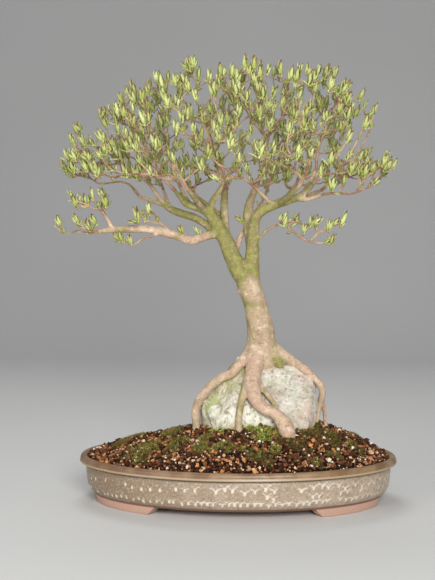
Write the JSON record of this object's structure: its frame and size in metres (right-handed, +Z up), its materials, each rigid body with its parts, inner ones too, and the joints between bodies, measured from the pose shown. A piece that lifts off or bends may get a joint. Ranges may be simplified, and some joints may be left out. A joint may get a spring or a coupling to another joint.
{
  "type": "bonsai tree",
  "caption": "Amur maple bonsai in spring bud, its roots gripping a pale rock in mounded soil, in a shallow oval footed stoneware pot.",
  "frame": {"origin": "centre of the part's box, on the plane that the pot's feet stand on", "axes": "+Z up, +X along the oval pot to the right as seen from the front, -Y towards the front"},
  "size_m": [0.481, 0.296, 0.6257],
  "materials": {
    "pot": "satin speckled oatmeal glaze",
    "soil": "loose fired clay grains, pumice and bark",
    "rock": "rough and pale",
    "bark": "thin matt bark with green algae",
    "buds": "fresh leaf buds on thin twigs",
    "screen": "moulded mesh",
    "wire": "brown anodised wire"
  },
  "bodies": {
    "root": {"pot": "pot", "soil": "soil", "rock": "rock", "trunk": "bark", "drain_screen_left": "screen", "drain_screen_right": "screen", "screen_clip_left": "wire", "screen_clip_right": "wire", "spray_low_left": "buds", "spray_low_left_fork": "buds", "spray_left_limb_out": "buds", "spray_left_limb_up": "buds", "spray_left_limb_back": "buds", "spray_fork_left": "buds", "spray_fork_left_up": "buds", "spray_fork_right": "buds", "spray_centre_stem": "buds", "spray_beige_stem": "buds", "spray_diagonal": "buds", "spray_rise": "buds", "spray_rise_up": "buds", "spray_right_limb": "buds", "spray_right_low": "buds", "spray_crossing": "buds", "spray_back_left": "buds", "spray_back_right": "buds", "spray_front_left": "buds", "spray_front_right": "buds", "spray_back_far_right": "buds", "spray_low_left_shoot": "buds", "spray_low_left_under": "buds"}
  },
  "joints": []
}
